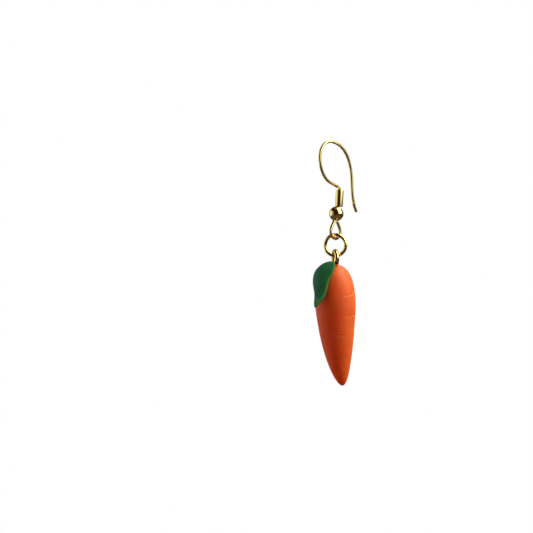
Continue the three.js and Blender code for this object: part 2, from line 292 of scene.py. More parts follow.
# What the gold mirrors: (azimuth in degrees, brightness) round the earring, where 0 is the front and 90
# the right, and (height of the mirrored direction, brightness) up each side's panel and over the table.
PANELS_AROUND = (
    (-180, 0.2),
    (-134, 0.2),
    (-124, 0.85),
    (-82, 0.85),
    (-74, 0.3),
    (-54, 0.25),
    (-42, 0.0),
    (30, 0.0),
    (38, 1.0),
    (82, 1.0),
    (88, 0.35),
    (112, 0.35),
    (120, 0.1),
    (180, 0.2),
)
LEFT_PANEL_HEIGHT = ((-1, 0.0), (-0.42, 0.0), (-0.25, 1.0), (0.45, 1.0), (0.6, 0.0), (1, 0.0))
RIGHT_PANEL_HEIGHT = ((-1, 0.0), (-0.12, 0.0), (0.12, 1.0), (0.88, 1.0), (0.97, 0.0), (1, 0.0))
TABLE_HEIGHT = ((-1, 0.05), (-0.5, 0.05), (-0.25, 0.0), (1, 0.0))
MIRRORED_ROOM = "#24140C"
LEFT_PANEL = "#D0E6FF"
RIGHT_PANEL = "#E4F2FF"
PANEL_STRENGTH = 2.1
PANEL_BLEND = 0.1  # half of the band, straight ahead and behind, where left gives way to right

# ---------------------------------------------------------------- small helpers


def linear(hex_colour):
    """An sRGB hex colour such as "#E8C45A" as linear RGBA."""
    channels = [int(hex_colour[i : i + 2], 16) / 255 for i in (1, 3, 5)]
    return (*[c / 12.92 if c <= 0.04045 else ((c + 0.055) / 1.055) ** 2.4 for c in channels], 1.0)


def add_node(tree, kind, settings=None, **inputs):
    """A node with its settings and its inputs: a socket links, and any other value is set.

    An input is called by its name, with _ for each space, or by its place: i0 is the first.
    """
    node = tree.nodes.new(kind)
    for name, value in (settings or {}).items():
        setattr(node, name, value)
    for key, value in inputs.items():
        name = key.replace("_", " ")
        socket = node.inputs[int(key[1:])] if key[0] == "i" and key[1:].isdigit() else node.inputs[name]
        if isinstance(value, bpy.types.NodeSocket):
            tree.links.new(value, socket)
        else:
            socket.default_value = value
    return node


def catmull_rom(points, per_span):
    """A centripetal Catmull-Rom curve through the points, as an array of positions."""
    given = [np.array(p, float) for p in points]
    given = [2 * given[0] - given[1], *given, 2 * given[-1] - given[-2]]
    steps = np.linspace(0, 1, per_span, endpoint=False)[:, None]
    out = []
    for p0, p1, p2, p3 in zip(given, given[1:], given[2:], given[3:]):
        a, b, c = (np.sqrt(np.linalg.norm(q - p)) for p, q in ((p0, p1), (p1, p2), (p2, p3)))
        leave = ((p1 - p0) / a - (p2 - p0) / (a + b) + (p2 - p1) / b) * b
        arrive = ((p2 - p1) / b - (p3 - p1) / (b + c) + (p3 - p2) / c) * b
        cubic = 2 * p1 - 2 * p2 + leave + arrive
        square = -3 * p1 + 3 * p2 - 2 * leave - arrive
        out.append(cubic * steps**3 + square * steps**2 + leave * steps + p1)
    return np.vstack([*out, given[-2][None]])


def spread(path, places):
    """Points on a path at the given shares of its length, from 0 to 1."""
    run = np.concatenate([[0], np.cumsum(np.linalg.norm(np.diff(path, axis=0), axis=1))])
    run /= run[-1]
    return np.stack([np.interp(places, run, path[:, k]) for k in range(path.shape[1])], axis=1)


def turned_about_z(points, degrees):
    angle = math.radians(degrees)
    cosine, sine = math.cos(angle), math.sin(angle)
    spin = np.array([[cosine, -sine, 0], [sine, cosine, 0], [0, 0, 1]])
    return points @ spin.T


def add_object(name, data):
    piece = bpy.data.objects.new(name, data)
    bpy.context.scene.collection.objects.link(piece)
    return piece


def add_mesh(name, points, faces, material):
    """A smooth mesh from points in millimetres, with its faces turned outwards."""
    mesh = bpy.data.meshes.new(name)
    mesh.from_pydata((np.asarray(points) * MM).tolist(), [], faces)
    shell = bmesh.new()
    shell.from_mesh(mesh)
    bmesh.ops.recalc_face_normals(shell, faces=shell.faces)
    shell.to_mesh(mesh)
    shell.free()
    mesh.polygons.foreach_set("use_smooth", [True] * len(mesh.polygons))
    mesh.materials.append(material)
    return add_object(name, mesh)


def skin(rings, first_pole=None, last_pole=None):
    """Points and faces over rings of equal length: drawn to a point at each end, or closed on itself."""
    count, sides, _ = rings.shape
    points = rings.reshape(-1, 3).tolist()
    faces = []
    rows = count if first_pole is None else count - 1
    for row in range(rows):
        below = (row + 1) % count
        for side in range(sides):
            after = (side + 1) % sides
            upper, lower = row * sides, below * sides
            faces.append((upper + side, upper + after, lower + after, lower + side))
    if first_pole is not None:
        points += [list(first_pole), list(last_pole)]
        first, last, foot = len(points) - 2, len(points) - 1, (count - 1) * sides
        for side in range(sides):
            after = (side + 1) % sides
            faces.append((first, after, side))
            faces.append((last, foot + side, foot + after))
    return points, faces


def turned(profile, sides):
    """Rings of a closed profile, [(radius, height), ...], turned round Z."""
    angles = np.linspace(0, 2 * math.pi, sides, endpoint=False)
    radii, heights = np.array(profile, float).T
    across = radii[:, None, None] * np.stack([np.cos(angles), np.sin(angles)], axis=1)[None]
    up = np.broadcast_to(heights[:, None, None], (len(radii), sides, 1))
    return np.concatenate([across, up], axis=2)


def finish_piece(piece, body, slot, *nodes):
    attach(piece, body)
    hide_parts(*nodes)


# ---------------------------------------------------------------- materials


def new_material(name):
    material = bpy.data.materials.new(name)
    material.use_nodes = True
    tree = material.node_tree
    tree.nodes.clear()
    return material, tree


def close_material(tree, shader):
    output = tree.nodes.new("ShaderNodeOutputMaterial")
    tree.links.new(shader.outputs[0], output.inputs["Surface"])


def polished_gold_plate(name, look):
    """Brass, drawn and tumbled, then flash-plated with gold and left bright.

    The plate mirrors the studio. Its colour wanders a little where the plate is thin, and the tumbled
    brass under it leaves shallow waves about half a millimetre wide, so reflections waver.
    """
    material, tree = new_material(name)
    place = add_node(tree, "ShaderNodeTexCoord").outputs["Object"]
    wear = add_node(tree, "ShaderNodeTexNoise", Vector=place, Scale=1 / (GOLD_WORN_SIZE * MM), Detail=3.0)
    colour = add_node(
        tree,
        "ShaderNodeMix",
        {"data_type": "RGBA"},
        i0=wear.outputs["Fac"],
        i6=(*look.gold, 1.0),
        i7=(*look.gold_worn, 1.0),
    )
    # Painted shade: the screw eye's foot is darkened where it enters the clay, and made rougher.
    foot_shade = add_node(tree, "ShaderNodeAttribute", {"attribute_name": "painted_light"}).outputs["Fac"]
    colour = add_node(
        tree,
        "ShaderNodeMix",
        {"data_type": "RGBA"},
        i0=foot_shade,
        i6=colour.outputs[2],
        i7=(*look.gold_painted_shade, 1.0),
    )
    haze = add_node(tree, "ShaderNodeTexNoise", Vector=place, Scale=1 / (GOLD_HAZE_SIZE * MM), Detail=4.0)
    gloss = add_node(
        tree,
        "ShaderNodeMapRange",
        Value=haze.outputs["Fac"],
        From_Min=0.35,
        From_Max=0.7,
        To_Min=GOLD_ROUGHNESS[0],
        To_Max=GOLD_ROUGHNESS[1],
    )
    gloss = add_node(tree, "ShaderNodeMix", i0=foot_shade, i2=gloss.outputs[0], i3=FOOT_ROUGHNESS)
    wave = add_node(tree, "ShaderNodeTexNoise", Vector=place, Scale=1 / (GOLD_WAVE_SIZE * MM), Detail=1.5)
    relief = add_node(
        tree,
        "ShaderNodeBump",
        Strength=0.12,
        Distance=GOLD_WAVE_HEIGHT * MM,
        Height=wave.outputs["Fac"],
    )
    shader = add_node(
        tree,
        "ShaderNodeBsdfPrincipled",
        Metallic=1.0,
        Base_Color=colour.outputs[2],
        Roughness=gloss.outputs[0],
        Normal=relief.outputs[0],
    )
    close_material(tree, shader)
    return material


def baked_clay(name, light, deep, painted_light, mottle_size, roughness, specular, subsurface):
    """Baked polymer clay, a plasticised vinyl rolled smooth by hand.

    It is satin rather than glossy, soft at its edges because light travels a little way in, and faintly
    mottled where the colours were kneaded. Fingertips leave shallow hollows, and skin and dust a grain of
    about a tenth of a millimetre. A stored attribute carries painted light: the pressed lines and the nick by
    the screw eye are deepened in colour as painted shade, and the leaf's rim and tip are paled as painted
    highlight.
    """
    material, tree = new_material(name)
    place = add_node(tree, "ShaderNodeTexCoord").outputs["Object"]
    knead = add_node(
        tree,
        "ShaderNodeTexNoise",
        Vector=place,
        Scale=1 / (mottle_size * MM),
        Detail=4.0,
        Distortion=0.6,
    )
    share = add_node(tree, "ShaderNodeMapRange", Value=knead.outputs["Fac"], From_Min=0.3, From_Max=0.75)
    kneaded = add_node(
        tree,
        "ShaderNodeMix",
        {"data_type": "RGBA"},
        i0=share.outputs[0],
        i6=(*light, 1.0),
        i7=(*deep, 1.0),
    )
    # Painted light: a deeper colour as painted shade, a paler one as painted highlight.
    worked = add_node(tree, "ShaderNodeAttribute", {"attribute_name": "painted_light"})
    colour = add_node(
        tree,
        "ShaderNodeMix",
        {"data_type": "RGBA"},
        i0=worked.outputs["Fac"],
        i6=kneaded.outputs[2],
        i7=(*painted_light, 1.0),
    )
    grain = add_node(tree, "ShaderNodeTexNoise", Vector=place, Scale=1 / (CLAY_GRAIN_SIZE * MM), Detail=5.0)
    hollows = add_node(
        tree,
        "ShaderNodeTexNoise",
        Vector=place,
        Scale=1 / (CLAY_HOLLOW_SIZE * MM),
        Detail=2.0,
    )
    fine = add_node(
        tree,
        "ShaderNodeBump",
        Strength=0.22,
        Distance=CLAY_GRAIN_HEIGHT * MM,
        Height=grain.outputs["Fac"],
    )
    relief = add_node(
        tree,
        "ShaderNodeBump",
        Strength=0.3,
        Distance=CLAY_HOLLOW_HEIGHT * MM,
        Height=hollows.outputs["Fac"],
        Normal=fine.outputs[0],
    )
    gloss = add_node(
        tree,
        "ShaderNodeMapRange",
        Value=grain.outputs["Fac"],
        From_Min=0.3,
        From_Max=0.7,
        To_Min=roughness - 0.06,
        To_Max=roughness + 0.08,
    )
    shader = add_node(
        tree,
        "ShaderNodeBsdfPrincipled",
        Base_Color=colour.outputs[2],
        Roughness=gloss.outputs[0],
        Specular_IOR_Level=specular,
        Subsurface_Weight=subsurface,
        Subsurface_Radius=CLAY_GLOW,
        Subsurface_Scale=CLAY_GLOW_DEPTH * MM,
        Normal=relief.outputs[0],
    )
    close_material(tree, shader)
    return material


def gold():
    """The one material of all the findings, made when the first of them asks for it."""
    name = "Polished gold plate on brass"
    return bpy.data.materials.get(name) or polished_gold_plate(name, bpy.context.scene.earring_gold)


def orange_clay():
    look = bpy.context.scene.earring_clay
    colours = [tuple(colour) for colour in (look.carrot_light, look.carrot_deep, look.carrot_press_shade)]
    return baked_clay(
        "Orange polymer clay",
        *colours,
        mottle_size=CARROT_MOTTLE_SIZE,
        roughness=0.58,
        specular=0.42,
        subsurface=0.8,
    )


def green_clay():
    look = bpy.context.scene.earring_clay
    colours = [tuple(colour) for colour in (look.leaf_light, look.leaf_deep, look.leaf_painted_highlight)]
    return baked_clay(
        "Green polymer clay",
        *colours,
        mottle_size=LEAF_MOTTLE_SIZE,
        roughness=0.55,
        specular=0.25,
        subsurface=0.2,
    )


def mark(mesh, painted_light):
    """Store where light or shade is painted on a piece, from 0 to 1 at each of its points."""
    store = mesh.attributes.new("painted_light", "FLOAT", "POINT")
    store.data.foreach_set("value", np.asarray(painted_light, np.float32))


def mark_clay(piece, painted_light):
    """Store painted light on a clay piece made by skin(), from the rows of its rings; its two poles stay
    clear.
    """
    mark(piece.data, np.append(painted_light, [0, 0]))


# ---------------------------------------------------------------- wire along a path


def wire_tree():
    """Geometry Nodes that sweep a round wire along a curve and round off its ends."""
    known = bpy.data.node_groups.get("Wire along a path")
    if known:
        return known
    tree = bpy.data.node_groups.new("Wire along a path", "GeometryNodeTree")
    face = tree.interface
    face.new_socket("Path", in_out="INPUT", socket_type="NodeSocketGeometry")
    for name, socket_type in (
        ("Wire Radius", "NodeSocketFloat"),
        ("Start Rounding", "NodeSocketFloat"),
        ("End Rounding", "NodeSocketFloat"),
        ("Sides", "NodeSocketInt"),
        ("Material", "NodeSocketMaterial"),
    ):
        face.new_socket(name, in_out="INPUT", socket_type=socket_type)
    face.new_socket("Wire", in_out="OUTPUT", socket_type="NodeSocketGeometry")
    given = add_node(tree, "NodeGroupInput").outputs
    along = add_node(tree, "GeometryNodeSplineParameter").outputs["Length"]
    whole = add_node(tree, "GeometryNodeSplineLength").outputs["Length"]
    left = add_node(tree, "ShaderNodeMath", {"operation": "SUBTRACT"}, i0=whole, i1=along).outputs[0]

    def rounded(distance, rounding):
        """1 along the wire, falling on a quarter circle to 0 at the very end."""
        divided = {"operation": "DIVIDE", "use_clamp": True}
        share = add_node(tree, "ShaderNodeMath", divided, i0=distance, i1=rounding)
        rest = add_node(tree, "ShaderNodeMath", {"operation": "SUBTRACT"}, i0=1.0, i1=share.outputs[0])
        square = add_node(tree, "ShaderNodeMath", {"operation": "POWER"}, i0=rest.outputs[0], i1=2.0)
        inside = add_node(tree, "ShaderNodeMath", {"operation": "SUBTRACT"}, i0=1.0, i1=square.outputs[0])
        return add_node(tree, "ShaderNodeMath", {"operation": "SQRT"}, i0=inside.outputs[0]).outputs[0]

    def end(distance, rounding):
        """How thick the wire is near an end, as a share of its thickness.

        A rounding less than the wire's radius leaves a flat face in the middle of a filed end.
        """
        radius = given["Wire Radius"]
        flat = add_node(tree, "ShaderNodeMath", {"operation": "SUBTRACT"}, i0=radius, i1=rounding)
        grown = add_node(
            tree,
            "ShaderNodeMath",
            {"operation": "MULTIPLY_ADD"},
            i0=rounded(distance, rounding),
            i1=rounding,
            i2=flat.outputs[0],
        )
        share = add_node(tree, "ShaderNodeMath", {"operation": "DIVIDE"}, i0=grown.outputs[0], i1=radius)
        larger = {"operation": "MAXIMUM"}
        return add_node(tree, "ShaderNodeMath", larger, i0=share.outputs[0], i1=THINNEST_END).outputs[0]

    both = add_node(
        tree,
        "ShaderNodeMath",
        {"operation": "MINIMUM"},
        i0=end(along, given["Start Rounding"]),
        i1=end(left, given["End Rounding"]),
    )
    section = add_node(
        tree,
        "GeometryNodeCurvePrimitiveCircle",
        Resolution=given["Sides"],
        Radius=given["Wire Radius"],
    )
    swept = add_node(
        tree,
        "GeometryNodeCurveToMesh",
        Curve=given["Path"],
        Profile_Curve=section.outputs["Curve"],
        Scale=both.outputs[0],
        Fill_Caps=True,
    )
    smooth = add_node(tree, "GeometryNodeSetShadeSmooth", Geometry=swept.outputs["Mesh"])
    real = add_node(tree, "GeometryNodeRealizeInstances", Geometry=smooth.outputs[0])
    dressed = add_node(tree, "GeometryNodeSetMaterial", Geometry=real.outputs[0], Material=given["Material"])
    add_node(tree, "NodeGroupOutput", Wire=dressed.outputs[0])
    return tree


def wire_mesh(path, diameter, start_rounding, end_rounding, sides, material):
    """The mesh of a wire swept along a path in millimetres."""
    curve = bpy.data.curves.new("path", "CURVE")
    curve.dimensions = "3D"
    spline = curve.splines.new("POLY")
    spline.points.add(len(path) - 1)
    spline.points.foreach_set("co", np.hstack([path * MM, np.ones((len(path), 1))]).ravel())
    carrier = add_object("path", curve)
    modifier = carrier.modifiers.new("wire", "NODES")
    tree = wire_tree()
    modifier.node_group = tree
    sockets = {s.name: s.identifier for s in tree.interface.items_tree if s.in_out == "INPUT"}
    modifier[sockets["Wire Radius"]] = diameter / 2 * MM
    modifier[sockets["Start Rounding"]] = start_rounding * MM
    modifier[sockets["End Rounding"]] = end_rounding * MM
    modifier[sockets["Sides"]] = sides
    modifier[sockets["Material"]] = material
    shaped = carrier.evaluated_get(bpy.context.evaluated_depsgraph_get())
    mesh = bpy.data.meshes.new_from_object(shaped)
    bpy.data.objects.remove(carrier)
    bpy.data.curves.remove(curve)
    return mesh


def end_crowded(count, ends, crowd):
    """Shares of a path's length, evenly spaced but crowded within a share of it at both ends."""
    middle = np.linspace(crowd, 1 - crowd, count)
    quarter = 1 - np.cos(np.linspace(0, math.pi / 2, ends, endpoint=False))
    start = crowd * quarter
    return np.concatenate([start, middle, (1 - start)[::-1]])


# ---------------------------------------------------------------- settings


class GoldSettings(bpy.types.PropertyGroup):
    gold: bpy.props.FloatVectorProperty(
        name="Gold", description="Colour of the plate", subtype="COLOR", min=0, max=1,
        default=linear("#F0D380")[:3],
    )
    gold_worn: bpy.props.FloatVectorProperty(
        name="Worn gold", description="Colour where the plate is thin", subtype="COLOR", min=0, max=1,
        default=linear("#E4BC6A")[:3],
    )
    # Colour of the painted shade at the screw eye's foot.
    gold_painted_shade: bpy.props.FloatVectorProperty(
        name="Painted shade on gold", description="Painted shade on the screw eye's foot", subtype="COLOR", min=0, max=1,
        default=linear("#4E2E14")[:3],
    )
    wire: bpy.props.FloatProperty(
        name="Ear wire", description="Diameter of the ear wire", default=0.62 * MM, unit="LENGTH",
    )
    ring_wire: bpy.props.FloatProperty(
        name="Ring wire", description="Diameter of the jump ring's wire", default=0.7 * MM, unit="LENGTH",
    )
    ring_outer: bpy.props.FloatProperty(
        name="Jump ring", description="Outer diameter of the jump ring", default=5.0 * MM, unit="LENGTH",
    )
    ring_cut: bpy.props.FloatProperty(
        name="Ring cut", description="Width of the closed cut in the jump ring", default=0.02 * MM,
        unit="LENGTH",
    )
    eye_wire: bpy.props.FloatProperty(
        name="Eye wire", description="Diameter of the screw eye's wire", default=0.95 * MM, unit="LENGTH",
    )
    eye_outer: bpy.props.FloatProperty(
        name="Screw eye", description="Outer diameter of the screw eye", default=3.8 * MM, unit="LENGTH",
    )
    sleeve: bpy.props.FloatProperty(
        name="Sleeve", description="Diameter of the sleeve", default=1.62 * MM, unit="LENGTH",
    )
    sleeve_length: bpy.props.FloatProperty(
        name="Sleeve length", description="Length of the sleeve", default=3.37 * MM, unit="LENGTH",
    )
    bead: bpy.props.FloatProperty(
        name="Bead", description="Diameter of the ball bead", default=3.0 * MM, unit="LENGTH",
    )


class ClaySettings(bpy.types.PropertyGroup):
    carrot_light: bpy.props.FloatVectorProperty(
        name="Carrot, light", description="Lighter clay in the carrot's mix", subtype="COLOR", min=0, max=1,
        default=linear("#E76D1D")[:3],
    )
    carrot_deep: bpy.props.FloatVectorProperty(
        name="Carrot, deep", description="Deeper clay in the carrot's mix", subtype="COLOR", min=0, max=1,
        default=linear("#DF661A")[:3],
    )
    # Colour of the painted shade in the pressed lines and in the nick by the eye.
    carrot_press_shade: bpy.props.FloatVectorProperty(
        name="Carrot, painted shade", description="Painted shade in the pressed lines and the nick", subtype="COLOR", min=0, max=1,
        default=linear("#B8501A")[:3],
    )
    leaf_light: bpy.props.FloatVectorProperty(
        name="Leaf, light", description="Lighter clay in the leaf's mix", subtype="COLOR", min=0, max=1,
        default=linear("#20763A")[:3],
    )
    leaf_deep: bpy.props.FloatVectorProperty(
        name="Leaf, deep", description="Deeper clay in the leaf's mix", subtype="COLOR", min=0, max=1,
        default=linear("#17612C")[:3],
    )
    # Colour of the painted highlight on the leaf's rim and near its tip.
    leaf_painted_highlight: bpy.props.FloatVectorProperty(
        name="Leaf, painted highlight", description="Painted highlight on the leaf's rim and tip", subtype="COLOR", min=0, max=1,
        default=linear("#468C3E")[:3],
    )
    press_depth: bpy.props.FloatProperty(
        name="Press lines", description="Depth of the pressed lines", default=0.08 * MM, unit="LENGTH",
    )
    unevenness: bpy.props.FloatProperty(
        name="Unevenness", description="How far the hand-rolled clay strays from round", default=0.05 * MM,
        unit="LENGTH",
    )
    leaf_half_width: bpy.props.FloatProperty(
        name="Leaf half width", description="Half of the leaf's width", default=2.255 * MM, unit="LENGTH",
    )
    leaf_thickness: bpy.props.FloatProperty(
        name="Leaf thickness", description="Thickness of the leaf", default=0.845 * MM, unit="LENGTH",
    )
    leaf_dish: bpy.props.FloatProperty(
        name="Leaf dish", description="How far the leaf's face sinks inside its rim", default=0.16 * MM,
        unit="LENGTH",
    )


class StudioSettings(bpy.types.PropertyGroup):
    view_width: bpy.props.FloatProperty(
        name="View width", description="Width of the view at the earring", default=109.5 * MM, unit="LENGTH",
    )
    view_distance: bpy.props.FloatProperty(
        name="Camera distance", description="From the camera to the earring", default=0.35, unit="LENGTH",
    )
    view_aside: bpy.props.FloatProperty(
        name="Camera aside", description="The camera's place left of the hook's crown", default=-13.0 * MM,
        unit="LENGTH",
    )
    view_height: bpy.props.FloatProperty(
        name="Camera height", description="The camera's height over the hook's crown", default=-25.4 * MM,
        unit="LENGTH",
    )
    floor_height: bpy.props.FloatProperty(
        name="Floor", description="The floor's height from the hook's crown", default=-75 * MM, unit="LENGTH",
    )
    key_power: bpy.props.FloatProperty(
        name="Key light", description="Power of the key light, on the right", unit="POWER", default=1.75,
    )
    key_colour: bpy.props.FloatVectorProperty(
        name="Key colour", description="Colour of the key light", subtype="COLOR", min=0, max=1,
        default=(1.0, 0.90, 0.66),
    )
    fill_power: bpy.props.FloatProperty(
        name="Fill light", description="Power of the fill light, on the left", unit="POWER", default=1.5,
    )
    fill_colour: bpy.props.FloatVectorProperty(
        name="Fill colour", description="Colour of the fill light", subtype="COLOR", min=0, max=1,
        default=(0.36, 0.35, 0.95),
    )
    top_power: bpy.props.FloatProperty(
        name="Top light", description="Power of the light overhead", unit="POWER", default=1.85,
    )
    top_colour: bpy.props.FloatVectorProperty(
        name="Top colour", description="Colour of the light overhead", subtype="COLOR", min=0, max=1,
        default=(1.0, 0.97, 0.86),
    )
    ambient: bpy.props.FloatVectorProperty(
        name="Ambient", description="Colour of the dim room round the earring", subtype="COLOR", min=0, max=1,
        default=(0.31, 0.115, 0.13),
    )


# ---------------------------------------------------------------- gold findings


def in_hook_plane(points):
    """Points (x, z) of the hook's own plane, in the row frame."""
    flat = np.asarray(points, float)
    return turned_about_z(np.stack([flat[:, 0], 0 * flat[:, 0], flat[:, 1]], axis=1), HOOK_TURN)


def along_axis(points, top, foot):
    """Points round Z moved onto the axis that runs from foot to top in the hook's plane."""
    (top_x, top_z), (foot_x, foot_z) = top, foot
    slant = math.atan2(top_x - foot_x, top_z - foot_z)
    x, y, z = np.asarray(points).T
    cosine, sine = math.cos(slant), math.sin(slant)
    leaned = np.stack([x * cosine + z * sine, y, z * cosine - x * sine], axis=1)
    leaned += ((top_x + foot_x) / 2, 0, (top_z + foot_z) / 2)
    return turned_about_z(leaned, HOOK_TURN)


class EARRING_OT_ear_wire(bpy.types.Operator):
    """Bend the ear wire: tail, crown, front arm, shank and loop"""

    bl_idname = "earring.ear_wire"
    bl_label = "Ear wire"

    def execute(self, context):
        size = context.scene.earring_gold
        radius = size.wire / MM / 2
        path = catmull_rom(in_hook_plane(WIRE_RUN), RUN_STEPS)
        length = np.linalg.norm(np.diff(path, axis=0), axis=1).sum()
        path = spread(path, end_crowded(WIRE_STEPS, WIRE_END_STEPS, radius / length))
        mesh = wire_mesh(path, 2 * radius, radius, LOOP_END_EDGE, WIRE_SIDES, gold())
        finish_piece(add_object("hook_wire", mesh), "hook", "gold_plated_brass", "ear_wire")
        return {"FINISHED"}


class EARRING_OT_sleeve_and_bead(bpy.types.Operator):
    """Turn the sleeve and the ball bead that sit on the ear wire's shank"""

    bl_idname = "earring.sleeve_and_bead"
    bl_label = "Sleeve and bead"

    def execute(self, context):
        size = context.scene.earring_gold
        outer = size.sleeve / MM / 2
        half = size.sleeve_length / MM / 2
        bend = np.linspace(0, math.pi / 2, SLEEVE_EDGE_STEPS)
        rounded_in = SLEEVE_EDGE * (1 - np.cos(bend))
        rounded_up = half - SLEEVE_EDGE * (1 - np.sin(bend))
        lip = list(zip(BORE_RADIUS + rounded_in, rounded_up))
        rim = list(zip(outer - rounded_in, rounded_up))[::-1]
        profile = lip + rim + [(r, -z) for r, z in reversed(lip + rim)]
        points, faces = skin(turned(profile, SLEEVE_SIDES))
        sleeve = add_mesh("sleeve_tube", along_axis(points, SLEEVE_TOP, SLEEVE_FOOT), faces, gold())
        finish_piece(sleeve, "hook", "gold_plated_brass", "sleeve")

        radius = size.bead / MM / 2
        mouth = math.asin((BORE_RADIUS + BEAD_EDGE) / radius)
        rows = np.linspace(mouth, math.pi - mouth, BEAD_ROWS)
        ball = [(radius * math.sin(angle), radius * math.cos(angle)) for angle in rows]
        bore_end = ball[0][1] - BEAD_EDGE
        bore = [(BORE_RADIUS, share * bore_end) for share in (-1, -1 / 3, 1 / 3, 1)]
        points, faces = skin(turned(ball + bore, BEAD_SIDES))
        bead = add_mesh("ball_bead", along_axis(points, BEAD_TOP, BEAD_FOOT), faces, gold())
        finish_piece(bead, "hook", "gold_plated_brass", "bead")
        return {"FINISHED"}


class EARRING_OT_jump_ring(bpy.types.Operator):
    """Close the jump ring, with the fine cut on its right side"""

    bl_idname = "earring.jump_ring"
    bl_label = "Jump ring"

    def execute(self, context):
        size = context.scene.earring_gold
        wire = size.ring_wire / MM
        radius = (size.ring_outer / MM - wire) / 2
        gap = size.ring_cut / MM / radius
        steps = end_crowded(RING_STEPS, RING_END_STEPS, RING_END_SHARE)
        angles = math.radians(RING_CUT_TURN) + gap / 2 + steps * (2 * math.pi - gap)
        aside = RING_CUT_OFFSET * (steps - 0.5)
        ring = np.stack([radius * np.cos(angles), aside, radius * np.sin(angles)], axis=1)
        path = turned_about_z(ring, RING_TURN) + RING_CENTRE
        mesh = wire_mesh(path, wire, RING_CUT_EDGE, RING_CUT_EDGE, RING_SIDES, gold())
        finish_piece(add_object("closed_jump_ring", mesh), "ring", "gold_plated_brass", "jump_ring")
        return {"FINISHED"}


class EARRING_OT_screw_eye(bpy.types.Operator):
    """Bend the screw eye and wind the thread that holds it in the clay"""

    bl_idname = "earring.screw_eye"
    bl_label = "Screw eye"

    def execute(self, context):
        size = context.scene.earring_gold
        wire = size.eye_wire / MM
        radius = (size.eye_outer / MM - wire) / 2
        steps = end_crowded(EYE_STEPS, EYE_END_STEPS, EYE_END_SHARE)
        angles = np.radians(EYE_BEND_FROM + EYE_BEND * steps)
        eye = np.stack([radius * np.cos(angles), 0 * angles, radius * np.sin(angles)], axis=1)

        shank = np.array([(0, 0, -radius - SHANK_HEAD), (0, 0, SHANK_FOOT)])
        shank = spread(shank, end_crowded(SHANK_STEPS, SHANK_END_STEPS, SHANK_END_SHARE))

        wind = np.linspace(0, THREAD_TURNS, THREAD_STEPS)
        around = 2 * math.pi * wind
        height = -radius - THREAD_START - THREAD_PITCH * wind
        thread = np.stack([THREAD_RADIUS * np.cos(around), THREAD_RADIUS * np.sin(around), height], axis=1)

        whole = bmesh.new()
        for path, diameter, start_edge, end_edge, sides in (
            (eye, wire, EYE_END_EDGE, EYE_END_EDGE, EYE_SIDES),
            (shank, 2 * SHANK_RADIUS, SHANK_HEAD_EDGE, SHANK_RADIUS, SHANK_SIDES),
            (thread, THREAD_WIRE, THREAD_WIRE / 2, THREAD_WIRE / 2, THREAD_SIDES),
        ):
            placed = turned_about_z(path, EYE_TURN) + EYE_CENTRE
            part = wire_mesh(placed, diameter, start_edge, end_edge, sides, gold())
            whole.from_mesh(part)
            bpy.data.meshes.remove(part)
        mesh = bpy.data.meshes.new("bent_screw_eye")
        whole.to_mesh(mesh)
        whole.free()
        mesh.polygons.foreach_set("use_smooth", [True] * len(mesh.polygons))
        mesh.materials.append(gold())
        # Painted shade at the eye's foot, fading out above the carrot's top.
        heights = np.array([point.co.z / MM for point in mesh.vertices]) - CARROT_TOP[2]
        mark(mesh, np.clip((FOOT_SHADE_TO - heights) / FOOT_SHADE_FADE, 0, 1))
        finish_piece(add_object("bent_screw_eye", mesh), "charm", "gold_plated_brass", "screw_eye")
        return {"FINISHED"}


# ---------------------------------------------------------------- clay carrot


def carrot_radius(depth):
    up = np.clip((CARROT_WIDEST - depth) / CARROT_WIDEST, 0, 1)
    down = np.clip((depth - CARROT_WIDEST) / (CARROT_LENGTH - CARROT_WIDEST), 0, 1)
    shoulder = (1 - up**SHOULDER_POWER) ** SHOULDER_ROUND
    taper = (1 - down**TAPER_POWER) ** TAPER_ROUND
    return CARROT_RADIUS * np.where(depth < CARROT_WIDEST, shoulder, taper)


def carrot_aside(depth):
    return CARROT_LEAN * depth + CARROT_BEND * (depth / CARROT_LENGTH) ** CARROT_BEND_POWER


def carrot_rows():
    """Depths of the carrot's rows: evenly spaced over the surface, closer where the lines are pressed."""
    depth = CARROT_LENGTH * (1 - np.cos(np.linspace(0, math.pi, CARROT_SAMPLES))) / 2
    step = np.hypot(np.diff(depth), np.diff(carrot_radius(depth)))
    middle = (depth[1:] + depth[:-1]) / 2
    pressed = np.zeros(len(middle), bool)
    for _, first, _, second, _ in PRESS_LINES:
        low = min(first, second) - PRESS_MARGIN
        high = max(first, second) + PRESS_MARGIN + PRESS_SAG
        pressed |= (middle > low) & (middle < high)
    run = np.concatenate([[0], np.cumsum(step / np.where(pressed, CARROT_PRESSED_ROW, CARROT_ROW))])
    return np.interp(np.arange(1, int(run[-1])), run, depth)


